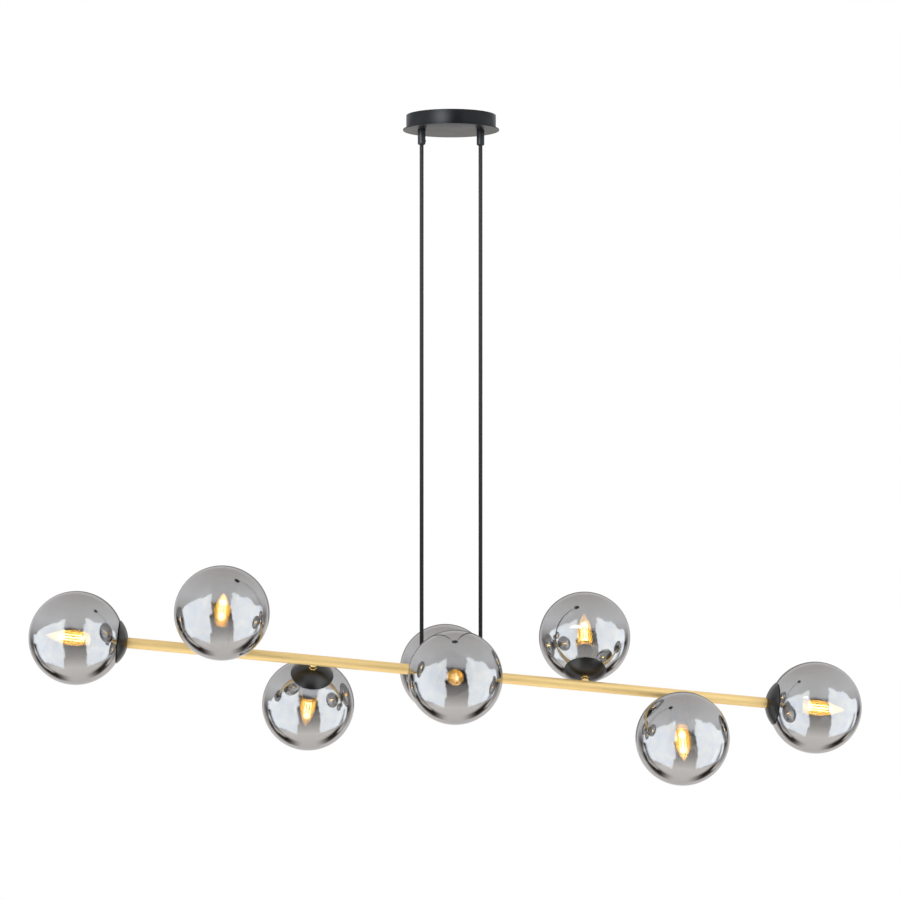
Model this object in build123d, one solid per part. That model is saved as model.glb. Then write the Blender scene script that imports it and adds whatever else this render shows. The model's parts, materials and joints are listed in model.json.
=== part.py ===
"""Pendant ceiling light: eight smoked glass globes on a brass bar, hung from a round canopy by two cords.

Millimetres. The origin is on the ceiling, at the middle of the bracket's top face. +Z is up, +X runs along
the bar to its right end, and -Y is the front. The bar hangs a few degrees out of level, right end low.
"""
from build123d import *
import math
import os

# Fits
SEAT_GAP = 0.05          # between two pieces of one body that seat on each other
THREAD_GAP = 0.1         # radial, between a threaded piece and its hole
LOOSE_GAP = 0.4          # between pieces that move past each other

# Hanging
DROP = 840.0             # ceiling to the axis of the level bar
TILT = 5.67              # degrees out of level, right end low
CORD_D = 6.0
CORD_SPACING = 89.0

# Canopy
BAND_D = 135.0
BAND_HEIGHT = 20.8
BAND_WALL = 1.2
PLATE_LIP = 5.0          # plate's edge past the band
PLATE_THICKNESS = 1.5
PLATE_EDGE_ROUND = 0.6
UPSTAND_HEIGHT = 6.0
UPSTAND_WALL = 1.2

# Ceiling bracket
STRAP_WIDTH = 24.0
STRAP_THICKNESS = 2.0
EAR_WIDTH = 16.0
EAR_LENGTH = 11.5
SLOT_SPACING = 60.0
SLOT_LENGTH = 14.0
SLOT_WIDTH = 5.0
CABLE_HOLE_D = 12.0
SIDE_SCREW_D = 4.0
SIDE_SCREW_LENGTH = 5.0
SIDE_SCREW_DROP = 8.0    # below the ceiling
EARTH_SCREW_D = 4.0
EARTH_SCREW_X = 14.0
EARTH_HEAD_D = 7.0
EARTH_HEAD_HEIGHT = 2.6

# Terminal block
BLOCK_LENGTH = 30.0
BLOCK_DEPTH = 18.0
BLOCK_HEIGHT = 11.0
BLOCK_Y = 30.0
POLE_SPACING = 10.0
POLE_HOLE_D = 3.6
CLAMP_SCREW_D = 3.2
CLAMP_SCREW_LENGTH = 3.4
CLAMP_SCREW_INSET = 5.0  # from the block's middle plane
LEAD_D = 2.6
LEAD_IN_BLOCK = 3.0
LEAD_DEPTH = 6.5         # below the ceiling, where the leads cross the canopy
LEAD_BEND_R = 3.0
LEAD_STANDOFF = 13.0     # where the cords' leads turn down, in front of the block
EARTH_LEAD_SHIFT = 7.0   # from there to the earth lead

# Cord grips
GRIP_D = 11.7
GRIP_LENGTH = 22.0
GRIP_END_ROUND = 2.0
GRIP_SHANK_D = 10.0
GRIP_SHANK_LENGTH = 7.0  # above the plate's upper face
GRIP_MOUTH_FLARE = 0.9
NUT_ACROSS_FLATS = 14.0
NUT_HEIGHT = 5.0
GRIP_SCREW_D = 3.0
GRIP_SCREW_RISE = 6.0    # above the grip's mouth
GRIP_SCREW_PROUD = 0.6
GRIP_SCREW_TURNS = {"left": 0.0, "right": 90.0}   # degrees from +X
SWING_RISE = 1.0         # swing axis above the grip's mouth
TAIL_RISE = 3.0          # cord tail above the grip's shank

# Bar
TUBE_D = 16.0
TUBE_WALL = 1.0
TUBE_LENGTH = 970.0
BAR_LEAD_D = 2.4
BAR_LEAD_SPACING = 2.8
BAR_LEAD_GAP = 0.3       # above the tube's floor

# Cord sockets and ferrules
SOCKET_D = 15.6
SOCKET_BORE = 12.0
SOCKET_HEIGHT = 14.0     # above the top of the tube
SOCKET_SCREW_D = 4.0
FERRULE_D = 9.0
FERRULE_WALL = 1.3
FERRULE_LENGTH = 26.0
FERRULE_BELOW_PIVOT = 9.0
CORE_LENGTH = 2.0        # below the ferrule

# Stems and end plugs
STEM_D = 12.0
STEM_LENGTH = 8.0
THREAD_D = 10.0
THREAD_BORE = 7.0
THREAD_IN_HOLDER = 9.0
THREAD_IN_TUBE = 0.8     # past the tube's inner wall
PLUG_LENGTH = 15.0
PLUG_GAP = 0.1

# Places of the side heads: from the nearer end of the tube, and degrees about it out of level
OUTER_HEAD_INSET = 135.5
INNER_HEAD_INSET = 279.0
OUTER_HEAD_TURN = 41.0
INNER_HEAD_TURN = 50.4

# Cups
CUP_D = 65.0
CUP_DEPTH = 13.0
CUP_WALL = 1.2
CUP_FLAT_D = 17.0
COLLAR_WALL = 2.0
GASKET_INSET = 4.0  # in from the cup's edge
GASKET_WIDTH = 3.5

# Globes
GLOBE_D = 140.0
GLOBE_WALL = 2.2
NECK_BORE = 32.0
NECK_WALL = 2.2
NECK_CLEARANCE = 0.9     # from the neck's end to the dome

# Lampholders
HOLDER_D = 25.0
HOLDER_END = 54.5        # from the cup's apex
HOLDER_FOOT_D = 16.0
HOLDER_FOOT_HEIGHT = 2.4
CHAMBER_D = 17.0
SOCKET_DEPTH = 25.0
HOLDER_FLOOR = 3.0
HOLDER_BORE = 16.0
SHELL_GAP = 0.25
SHELL_WALL = 0.4
SHELL_LENGTH = 20.0
SHELL_END_INSET = 3.0
CONTACT_HEAD_D = 6.0
CONTACT_HEAD_HEIGHT = 0.8
CONTACT_D = 3.6
CONTACT_TAIL = 2.0

# Bulbs
CAP_D = 13.8
CAP_TIP_D = 4.6
CAP_TIP_LENGTH = 1.8
SKIRT_D = 20.0
SKIRT_LENGTH = 9.0
SKIRT_BEVEL = 1.0
BULB_D = 24.0
BULB_WIDEST = 17.0       # above the skirt
BULB_TIP = 122.5         # from the cup's apex
BULB_SHOULDER = 18.0     # below the tip
BULB_SHOULDER_D = 16.0
BULB_NECK_D = 17.0
BULB_FLARE = 0.6         # slope of the glass at its neck
BULB_WALL = 0.9
FOOT_D = 11.0
FOOT_HEIGHT = 2.0
POST_D = 2.4
FILAMENT_D = 1.3
FILAMENT_RADIUS = 4.0
FILAMENT_LENGTH = 30.0
FILAMENT_RISE = 4.0      # above the foot
FILAMENT_COUNT = 4
FILAMENT_HUB_HEIGHT = 1.5

# Derived places
tube_r = TUBE_D / 2
tube_bore_r = tube_r - TUBE_WALL
band_bore_r = BAND_D / 2 - BAND_WALL
plate_r = BAND_D / 2 + PLATE_LIP
cord_r = CORD_D / 2
grip_bore_r = cord_r + LOOSE_GAP
ferrule_bore_r = FERRULE_D / 2 - FERRULE_WALL
cord_x = CORD_SPACING / 2
sides = {"left": -1, "right": 1}
plate_top = -BAND_HEIGHT
plate_bottom = plate_top - PLATE_THICKNESS
block_top = plate_top + BLOCK_HEIGHT
pole_z = plate_top + BLOCK_HEIGHT / 2
grip_mouth = plate_bottom - GRIP_LENGTH
shank_top = plate_top + GRIP_SHANK_LENGTH
swing_z = grip_mouth + SWING_RISE
tail_top = shank_top + TAIL_RISE
pivot_rise = tube_r + SOCKET_HEIGHT / 2
pivot_z = -DROP + pivot_rise
ferrule_bottom = pivot_z - FERRULE_BELOW_PIVOT
ferrule_top = ferrule_bottom + FERRULE_LENGTH
thread_hole_r = THREAD_D / 2 + THREAD_GAP
bar_frame = Pos(0, 0, pivot_z) * Rot(0, TILT, 0) * Pos(0, 0, -pivot_rise)

# Heads: the side ones along the bar, and degrees about it from the front (-Y) towards up (+Z); then the ends
outer_head_x = TUBE_LENGTH / 2 - OUTER_HEAD_INSET
inner_head_x = TUBE_LENGTH / 2 - INNER_HEAD_INSET
side_heads = {
    2: (-outer_head_x, OUTER_HEAD_TURN),
    3: (-inner_head_x, 180 + INNER_HEAD_TURN),
    4: (0.0, 0.0),
    5: (0.0, 180.0),
    6: (inner_head_x, 180 - INNER_HEAD_TURN),
    7: (outer_head_x, -OUTER_HEAD_TURN),
}
end_heads = {1: -1, 8: 1}

# Derived head sizes, in the head's own frame: Z runs outwards from the cup's apex
dome_centre = ((CUP_D / 2) ** 2 + CUP_DEPTH**2 - (CUP_FLAT_D / 2) ** 2) / (2 * CUP_DEPTH)
dome_r = math.hypot(CUP_FLAT_D / 2, dome_centre)
dome_inner_r = dome_r - CUP_WALL
cup_mouth_r = math.sqrt(dome_inner_r**2 - (dome_centre - CUP_DEPTH) ** 2)
cup_floor_r = math.sqrt(dome_inner_r**2 - (dome_centre - CUP_WALL) ** 2)
globe_r = GLOBE_D / 2
globe_centre = CUP_DEPTH + math.sqrt(globe_r**2 - cup_mouth_r**2) + LOOSE_GAP
neck_r = NECK_BORE / 2 + NECK_WALL
collar_bore_r = neck_r + LOOSE_GAP
collar_r = collar_bore_r + COLLAR_WALL
socket_floor = HOLDER_END - SOCKET_DEPTH
thread_top = CUP_WALL + THREAD_IN_HOLDER
skirt_base = HOLDER_END + LOOSE_GAP
glass_base = skirt_base + SKIRT_LENGTH
contact_top = socket_floor + CONTACT_HEAD_HEIGHT


def near_z(centre, radius, r):
    """Height of the apex side of a sphere about the Z axis, at distance r from the axis."""
    return centre - math.sqrt(radius**2 - r**2)


def near_arc(centre, radius, r_start, r_end, through_pole=False):
    """Arc in the XZ plane on a sphere about the Z axis, from r_start to r_end, or on to the far pole."""
    start = math.asin(r_start / radius)
    end = math.pi if through_pole else math.asin(r_end / radius)
    points = []
    for angle in (start, (start + end) / 2, end):
        points.append((radius * math.sin(angle), 0, centre - radius * math.cos(angle)))
    return ThreePointArc(*points)


def line(*points):
    """Polyline through (r, z) points in the XZ plane."""
    return Polyline(*[(r, 0, z) for r, z in points])


def turned(*curves):
    """Solid of revolution about Z inside a closed run of curves in the XZ plane."""
    edges = [edge for curve in curves for edge in curve.edges()]
    return revolve(make_face(edges), Axis.Z)


def turned_outline(*points):
    """Solid of revolution about Z from the corners of its half section."""
    return turned(line(*points, points[0]))


def rod(radius, z_low, z_high, x=0.0, y=0.0):
    """Upright round rod."""
    return Pos(x, y, z_low) * Cylinder(radius, z_high - z_low, align=(Align.CENTER, Align.CENTER, Align.MIN))


def ring(outer_r, inner_r, z_low, z_high, x=0.0, y=0.0):
    """Upright round tube."""
    return rod(outer_r, z_low, z_high, x, y) - rod(inner_r, z_low, z_high, x, y)


def lead(points, diameter, bend_r):
    """Round wire along straight runs joined by arcs."""
    path = FilletPolyline(*points, radius=bend_r)
    return sweep(Plane(path @ 0, z_dir=path % 0) * Circle(diameter / 2), path=path)


def save(name, *solids):
    """Write one node, a solid or a group of like solids."""
    shape = solids[0] if len(solids) == 1 else Compound(list(solids))
    export_step(shape, f"parts/{name}.step")


# Canopy and bracket
def across(radius, x_low, x_high, z):
    """Round rod along X."""
    return Pos(x_low, 0, z) * Rot(0, 90, 0) * rod(radius, 0, x_high - x_low)


def side_screw_holes():
    """Cutters for the grub screws that hold the band on the bracket's ears."""
    return across(SIDE_SCREW_D / 2 + THREAD_GAP, -BAND_D, BAND_D, -SIDE_SCREW_DROP)


def ceiling_bracket():
    """Steel strap on the ceiling, with screw slots and an ear turned down at each end."""
    room_r = band_bore_r - LOOSE_GAP
    strap = Pos(0, 0, -STRAP_THICKNESS / 2) * Box(BAND_D, STRAP_WIDTH, STRAP_THICKNESS)
    bracket = strap & rod(room_r, -STRAP_THICKNESS, 0)
    ear_x = math.sqrt(room_r**2 - (EAR_WIDTH / 2) ** 2) - STRAP_THICKNESS / 2
    ear_z = -STRAP_THICKNESS - EAR_LENGTH / 2
    for side in sides.values():
        bracket += Pos(side * ear_x, 0, ear_z) * Box(STRAP_THICKNESS, EAR_WIDTH, EAR_LENGTH)
        slot = Pos(side * SLOT_SPACING / 2, 0, -STRAP_THICKNESS) * SlotOverall(SLOT_LENGTH, SLOT_WIDTH)
        bracket -= extrude(slot, STRAP_THICKNESS)
    bracket -= rod(CABLE_HOLE_D / 2, -STRAP_THICKNESS, 0)
    bracket -= rod(EARTH_SCREW_D / 2 + THREAD_GAP, -STRAP_THICKNESS, 0, EARTH_SCREW_X)
    return bracket - side_screw_holes()


def canopy_band():
    return ring(BAND_D / 2, band_bore_r, plate_top, 0) - side_screw_holes()


def canopy_plate():
    """Face plate with a rounded edge, holes for the grips and an upstand that seats inside the band."""
    plate = fillet(rod(plate_r, plate_bottom, plate_top).edges(), PLATE_EDGE_ROUND)
    upstand_r = band_bore_r - SEAT_GAP
    plate += ring(upstand_r, upstand_r - UPSTAND_WALL, plate_top, plate_top + UPSTAND_HEIGHT)
    for side in sides.values():
        plate -= rod(GRIP_SHANK_D / 2 + THREAD_GAP, plate_bottom, plate_top, side * cord_x)
    return plate


def canopy_side_screws():
    """Grub screws, flush with the band."""
    inner_x = BAND_D / 2 - SIDE_SCREW_LENGTH
    right = across(SIDE_SCREW_D / 2, inner_x, BAND_D / 2, -SIDE_SCREW_DROP)
    return [right, mirror(right, Plane.YZ)]


def earth_screw():
    shank = rod(EARTH_SCREW_D / 2, -STRAP_THICKNESS, 0, EARTH_SCREW_X)
    head_z = -STRAP_THICKNESS - EARTH_HEAD_HEIGHT
    return shank + rod(EARTH_HEAD_D / 2, head_z, -STRAP_THICKNESS, EARTH_SCREW_X)


def clamp_places():
    """Where the terminal block's clamp screws stand."""
    places = []
    for pole in (-1, 0, 1):
        for row in (-1, 1):
            places.append((pole * POLE_SPACING, BLOCK_Y + row * CLAMP_SCREW_INSET))
    return places


def terminal_block():
    block = Pos(0, BLOCK_Y, plate_top + BLOCK_HEIGHT / 2) * Box(BLOCK_LENGTH, BLOCK_DEPTH, BLOCK_HEIGHT)
    for pole in (-1, 0, 1):
        tunnel = Rot(90, 0, 0) * Cylinder(POLE_HOLE_D / 2, BLOCK_DEPTH)
        block -= Pos(pole * POLE_SPACING, BLOCK_Y, pole_z) * tunnel
    for x, y in clamp_places():
        block -= rod(CLAMP_SCREW_D / 2 + THREAD_GAP, pole_z, block_top, x, y)
    return block


def terminal_screws():
    bottom = block_top - CLAMP_SCREW_LENGTH
    return [rod(CLAMP_SCREW_D / 2, bottom, block_top, x, y) for x, y in clamp_places()]


def canopy_leads():
    """One core from each cord tail to its pole, and the earth lead from the bracket to the middle pole."""
    block_front = BLOCK_Y - BLOCK_DEPTH / 2
    crossing_y = block_front - LEAD_STANDOFF
    earth_y = crossing_y + EARTH_LEAD_SHIFT
    end_y = block_front + LEAD_IN_BLOCK
    leads = []
    for side in sides.values():
        points = [
            (side * cord_x, 0, tail_top),
            (side * cord_x, 0, -LEAD_DEPTH),
            (side * POLE_SPACING, crossing_y, -LEAD_DEPTH),
            (side * POLE_SPACING, crossing_y, pole_z),
            (side * POLE_SPACING, end_y, pole_z),
        ]
        leads.append(lead(points, LEAD_D, LEAD_BEND_R))
    earth_z = -STRAP_THICKNESS - EARTH_HEAD_HEIGHT / 2
    earth_points = [
        (EARTH_SCREW_X, EARTH_HEAD_D / 2 + THREAD_GAP, earth_z),
        (EARTH_SCREW_X, earth_y, earth_z),
        (0, earth_y, pole_z),
        (0, end_y, pole_z),
    ]
    leads.append(lead(earth_points, LEAD_D, LEAD_BEND_R))
    return leads


# Cord grips and cords
def beside_cord(side, radius, r_start, r_end):
    """Rod along the line of a grip's side screw."""
    place = Pos(sides[side] * cord_x, 0, grip_mouth + GRIP_SCREW_RISE) * Rot(0, 0, GRIP_SCREW_TURNS[side])
    return place * Rot(0, 90, 0) * rod(radius, r_start, r_end)


def grip_screw(side):
    """Side screw, its tip on the cord and its head a little proud of the grip."""
    return beside_cord(side, GRIP_SCREW_D / 2, cord_r + THREAD_GAP, GRIP_D / 2 + GRIP_SCREW_PROUD)


def cord_grip(side):
    """Gland under the plate: threaded shank, round body with a rounded end, flared mouth."""
    body_r = GRIP_D / 2
    shank_r = GRIP_SHANK_D / 2
    bend = GRIP_END_ROUND * (1 - math.sqrt(0.5))
    rounded_end = ThreePointArc(
        (body_r, 0, grip_mouth + GRIP_END_ROUND),
        (body_r - bend, 0, grip_mouth + bend),
        (body_r - GRIP_END_ROUND, 0, grip_mouth),
    )
    outline = line(
        (body_r - GRIP_END_ROUND, grip_mouth),
        (grip_bore_r + GRIP_MOUTH_FLARE, grip_mouth),
        (grip_bore_r, grip_mouth + GRIP_MOUTH_FLARE),
        (grip_bore_r, shank_top),
        (shank_r, shank_top),
        (shank_r, plate_bottom),
        (body_r, plate_bottom),
        (body_r, grip_mouth + GRIP_END_ROUND),
    )
    grip = Pos(sides[side] * cord_x, 0, 0) * turned(outline, rounded_end)
    return grip - beside_cord(side, GRIP_SCREW_D / 2 + THREAD_GAP, 0, GRIP_D)


def grip_nut(side):
    hexagon = RegularPolygon(NUT_ACROSS_FLATS / 2, 6, major_radius=False)
    nut = Pos(sides[side] * cord_x, 0, plate_top) * extrude(hexagon, NUT_HEIGHT)
    return nut - rod(GRIP_SHANK_D / 2 + THREAD_GAP, plate_top, plate_top + NUT_HEIGHT, sides[side] * cord_x)


def cord_tail(side):
    """Upper end of a cord, clamped in its grip."""
    return rod(cord_r, swing_z + cord_r + LOOSE_GAP, tail_top, sides[side] * cord_x)


def cord(side):
    """Free stretch of a cord, straight under load, with a round top where it flexes in the grip's mouth."""
    top = ThreePointArc(
        (cord_r, 0, swing_z),
        (cord_r * math.sqrt(0.5), 0, swing_z + cord_r * math.sqrt(0.5)),
        (0, 0, swing_z + cord_r),
    )
    stretch = line((0, swing_z + cord_r), (0, ferrule_top), (cord_r, ferrule_top), (cord_r, swing_z))
    return Pos(sides[side] * cord_x, 0, 0) * turned(stretch, top)


def cord_ferrule(side):
    """Sleeve crimped on a cord's lower end."""
    return ring(FERRULE_D / 2, ferrule_bore_r, ferrule_bottom, ferrule_top, sides[side] * cord_x)


def cord_end(side):
    """Lower end of a cord inside its ferrule, with the bare core below it."""
    x = sides[side] * cord_x
    core = rod(LEAD_D / 2, ferrule_bottom - CORE_LENGTH, ferrule_bottom, x)
    return core + rod(cord_r, ferrule_bottom, ferrule_top, x)


# Bar, in its own frame: its axis is X and its middle is the origin
def bar_tube():
    tube = across(tube_r, -TUBE_LENGTH / 2, TUBE_LENGTH / 2, 0)
    tube -= across(tube_bore_r, -TUBE_LENGTH / 2, TUBE_LENGTH / 2, 0)
    for number in side_heads:
        tube -= head_frames[number] * rod(thread_hole_r, -tube_r - STEM_LENGTH, 0)
    for side in sides.values():
        tube -= rod(SOCKET_BORE / 2, 0, TUBE_D, side * cord_x)
    return tube


def around_tube():
    """Cutter of the tube's outside, a seat gap larger."""
    return across(tube_r + SEAT_GAP, -TUBE_LENGTH, TUBE_LENGTH, 0)


def cord_socket(side):
    """Collar brazed on top of the bar, which takes a cord's ferrule."""
    x = sides[side] * cord_x
    collar = ring(SOCKET_D / 2, SOCKET_BORE / 2, 0, tube_r + SOCKET_HEIGHT, x) - around_tube()
    hole = Pos(x, 0, pivot_rise) * Rot(-90, 0, 0) * rod(SOCKET_SCREW_D / 2 + THREAD_GAP, 0, SOCKET_D)
    return collar - hole


def socket_screw(side):
    """Grub screw at the back of a socket, its tip on the ferrule."""
    tip_y = FERRULE_D / 2 + THREAD_GAP
    screw = Rot(-90, 0, 0) * rod(SOCKET_SCREW_D / 2, tip_y, SOCKET_D / 2)
    return Pos(sides[side] * cord_x, 0, pivot_rise) * screw


def bar_leads():
    """Live and neutral on the floor of the tube, from plug to plug."""
    end_x = TUBE_LENGTH / 2 - PLUG_LENGTH - BAR_LEAD_D
    track_r = tube_bore_r - BAR_LEAD_D / 2 - BAR_LEAD_GAP
    y = BAR_LEAD_SPACING / 2
    live = Pos(0, y, 0) * across(BAR_LEAD_D / 2, -end_x, end_x, -math.sqrt(track_r**2 - y**2))
    return [live, mirror(live, Plane.XZ)]


def thread_bore(z_low):
    return rod(THREAD_BORE / 2, z_low, thread_top)


def bar_end_plug():
    """Plug in the end of the tube, with the hollow thread that carries an end head."""
    plug = rod(tube_bore_r - PLUG_GAP, -PLUG_LENGTH, 0) + rod(THREAD_D / 2, 0, thread_top)
    return plug - thread_bore(-PLUG_LENGTH)


def stem():
    """Spacer between bar and cup, saddled on the tube, with a hollow thread through both."""
    axis_z = -tube_r - STEM_LENGTH
    spacer = rod(STEM_D / 2, axis_z, 0) - Pos(0, 0, axis_z) * around_tube()
    thread_low = axis_z + tube_bore_r - THREAD_IN_TUBE
    return spacer + rod(THREAD_D / 2, thread_low, thread_top) - thread_bore(thread_low)


# Heads, each in its own frame
def cup():
    """Black dome with a flat at its apex and a hole for the thread."""
    outside = near_arc(dome_centre, dome_r, CUP_FLAT_D / 2, CUP_D / 2)
    inside = near_arc(dome_centre, dome_inner_r, cup_floor_r, cup_mouth_r)
    rim = line((CUP_D / 2, CUP_DEPTH), (cup_mouth_r, CUP_DEPTH))
    floor = line(
        (cup_floor_r, CUP_WALL),
        (thread_hole_r, CUP_WALL),
        (thread_hole_r, 0),
        (CUP_FLAT_D / 2, 0),
    )
    return turned(outside, rim, inside, floor)


def globe_collar():
    """Ring in the dome that takes the globe's neck."""
    seat_r = dome_inner_r - SEAT_GAP
    top = near_z(globe_centre, globe_r, collar_bore_r) - LOOSE_GAP
    seat = near_arc(dome_centre, seat_r, collar_bore_r, collar_r)
    walls = line(
        (collar_bore_r, near_z(dome_centre, seat_r, collar_bore_r)),
        (collar_bore_r, top),
        (collar_r, top),
        (collar_r, near_z(dome_centre, seat_r, collar_r)),
    )
    return turned(seat, walls)


def cup_gasket():
    """Soft ring between the dome and the glass."""
    seat_r = dome_inner_r - SEAT_GAP
    face_r = globe_r + LOOSE_GAP
    outer_r = CUP_D / 2 - GASKET_INSET
    inner_r = outer_r - GASKET_WIDTH
    seat = near_arc(dome_centre, seat_r, inner_r, outer_r)
    face = near_arc(globe_centre, face_r, inner_r, outer_r)
    walls = []
    for r in (inner_r, outer_r):
        walls.append(line((r, near_z(dome_centre, seat_r, r)), (r, near_z(globe_centre, face_r, r))))
    return turned(seat, face, *walls)


def holder():
    """Lampholder: threaded foot, wiring chamber, floor and socket."""
    chamber_low = thread_top + CONTACT_TAIL
    chamber_top = socket_floor - HOLDER_FLOOR
    contact_hole_r = CONTACT_D / 2 + THREAD_GAP
    return turned_outline(
        (thread_hole_r, CUP_WALL),
        (HOLDER_FOOT_D / 2, CUP_WALL),
        (HOLDER_D / 2, CUP_WALL + HOLDER_FOOT_HEIGHT),
        (HOLDER_D / 2, HOLDER_END),
        (HOLDER_BORE / 2, HOLDER_END),
        (HOLDER_BORE / 2, socket_floor),
        (contact_hole_r, socket_floor),
        (contact_hole_r, chamber_top),
        (CHAMBER_D / 2, chamber_top),
        (CHAMBER_D / 2, chamber_low),
        (thread_hole_r, chamber_low),
    )


def screw_shell():
    """Brass sleeve that the bulb's cap turns in."""
    shell_top = HOLDER_END - SHELL_END_INSET
    shell_r = HOLDER_BORE / 2 - SHELL_GAP
    return ring(shell_r, shell_r - SHELL_WALL, shell_top - SHELL_LENGTH, shell_top)


def centre_contact():
    tail = rod(CONTACT_D / 2, socket_floor - HOLDER_FLOOR - CONTACT_TAIL, socket_floor)
    return tail + rod(CONTACT_HEAD_D / 2, socket_floor, contact_top)


def bulb_cap():
    """Screw cap with its contact tip, and the gold skirt that shows past the lampholder."""
    tip_z = contact_top + LOOSE_GAP
    thread_z = tip_z + CAP_TIP_LENGTH
    return turned_outline(
        (0, tip_z),
        (CAP_TIP_D / 2, tip_z),
        (CAP_D / 2, thread_z),
        (CAP_D / 2, skirt_base),
        (SKIRT_D / 2, skirt_base),
        (SKIRT_D / 2, glass_base - SKIRT_BEVEL),
        (SKIRT_D / 2 - SKIRT_BEVEL, glass_base),
        (0, glass_base),
    )


def bulb_side(inset):
    """Half outline of the candle-shaped glass, from its neck to its tip, drawn in by inset."""
    return Spline(
        (BULB_NECK_D / 2 - inset, 0, glass_base),
        (BULB_D / 2 - inset, 0, glass_base + BULB_WIDEST),
        (BULB_SHOULDER_D / 2 - inset, 0, BULB_TIP - BULB_SHOULDER),
        (0, 0, BULB_TIP - inset),
        tangents=[(BULB_FLARE, 0, 1), (-1, 0, 0)],
    )


def bulb_glass():
    neck = line((BULB_NECK_D / 2 - BULB_WALL, glass_base), (BULB_NECK_D / 2, glass_base))
    tip = line((0, BULB_TIP - BULB_WALL), (0, BULB_TIP))
    return turned(bulb_side(0), bulb_side(BULB_WALL), neck, tip)


def bulb_filament():
    """Filament rods between two hubs on a glass post."""
    low = glass_base + FOOT_HEIGHT + FILAMENT_RISE
    high = low + FILAMENT_LENGTH
    hub_r = FILAMENT_RADIUS + FILAMENT_D
    frame = rod(FOOT_D / 2, glass_base, glass_base + FOOT_HEIGHT)
    frame += rod(POST_D / 2, glass_base, high + FILAMENT_HUB_HEIGHT)
    frame += rod(hub_r, low - FILAMENT_HUB_HEIGHT, low) + rod(hub_r, high, high + FILAMENT_HUB_HEIGHT)
    for place in PolarLocations(FILAMENT_RADIUS, FILAMENT_COUNT):
        frame += place * rod(FILAMENT_D / 2, low, high)
    return frame


def globe():
    """Smoked glass globe with a short neck."""
    bore_r = NECK_BORE / 2
    inner_r = globe_r - GLOBE_WALL
    neck_end = near_z(dome_centre, dome_inner_r, neck_r) + NECK_CLEARANCE
    outside = near_arc(globe_centre, globe_r, neck_r, 0, through_pole=True)
    inside = near_arc(globe_centre, inner_r, bore_r, 0, through_pole=True)
    neck = line(
        (bore_r, near_z(globe_centre, inner_r, bore_r)),
        (bore_r, neck_end),
        (neck_r, neck_end),
        (neck_r, near_z(globe_centre, globe_r, neck_r)),
    )
    pole = line((0, globe_centre + inner_r), (0, globe_centre + globe_r))
    return turned(outside, inside, neck, pole)


def place_heads():
    """Frame of each head in the bar: its origin is the cup's apex and its Z axis points away from the bar."""
    frames = {}
    for number, (x, turn) in side_heads.items():
        out = Vector(0, -math.cos(math.radians(turn)), math.sin(math.radians(turn)))
        frames[number] = Plane(Vector(x, 0, 0) + out * (tube_r + STEM_LENGTH), (1, 0, 0), out).location
    for number, side in end_heads.items():
        frames[number] = Plane((side * TUBE_LENGTH / 2, 0, 0), (0, 1, 0), (side, 0, 0)).location
    return frames


head_frames = place_heads()
os.makedirs("parts", exist_ok=True)

save("ceiling_bracket", ceiling_bracket())
save("canopy_band", canopy_band())
save("canopy_plate", canopy_plate())
save("canopy_side_screws", *canopy_side_screws())
save("terminal_block", terminal_block())
save("terminal_screws", *terminal_screws())
save("earth_screw", earth_screw())
save("canopy_leads", *canopy_leads())
save("grip_nuts", *[grip_nut(side) for side in sides])
save("cord_tails", *[cord_tail(side) for side in sides])
save("grip_screws", *[grip_screw(side) for side in sides])
save("cord_ends", *[cord_end(side) for side in sides])
for side in sides:
    save(f"cord_grip_{side}", cord_grip(side))
    save(f"cord_{side}", cord(side))
    save(f"cord_ferrule_{side}", cord_ferrule(side))

save("bar_tube", bar_frame * bar_tube())
save("bar_leads", *[bar_frame * wire for wire in bar_leads()])
save("cord_sockets", *[bar_frame * cord_socket(side) for side in sides])
save("socket_screws", *[bar_frame * socket_screw(side) for side in sides])

heads = {number: bar_frame * frame for number, frame in sorted(head_frames.items())}
save("bar_end_plugs", *[heads[number] * bar_end_plug() for number in end_heads])
save("stems", *[heads[number] * stem() for number in side_heads])
save("globe_collars", *[place * globe_collar() for place in heads.values()])
save("cup_gaskets", *[place * cup_gasket() for place in heads.values()])
contacts = []
for number, place in heads.items():
    contacts += [place * screw_shell(), place * centre_contact()]
    save(f"cup_{number}", place * cup())
    save(f"holder_{number}", place * holder())
    save(f"bulb_{number}", place * bulb_cap(), place * bulb_glass(), place * bulb_filament())
    save(f"globe_{number}", place * globe())
save("holder_contacts", *contacts)

print("swing axis height", swing_z, "tilt pivot height", pivot_z)
for number, place in heads.items():
    print("head", number, "apex", place.position, "out", Plane(place).z_dir)
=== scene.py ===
"""Studio scene of a pendant ceiling light: eight smoked glass globes on a brass bar under a round canopy.

The file is laid out as an add-on and run as a script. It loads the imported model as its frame, models the
pieces that show, finishes the parts that stay, and sets up the camera and the light. Lengths are in metres,
in the model's own frame: the origin is on the ceiling, +Z is up and +X runs along the bar to its right end.
"""
import json
import math

import bpy
from bpy.props import FloatProperty, FloatVectorProperty, IntProperty, PointerProperty
from bpy.types import Operator, Panel, PropertyGroup
from mathutils import Matrix, Vector
from mathutils.geometry import interpolate_bezier


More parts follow.
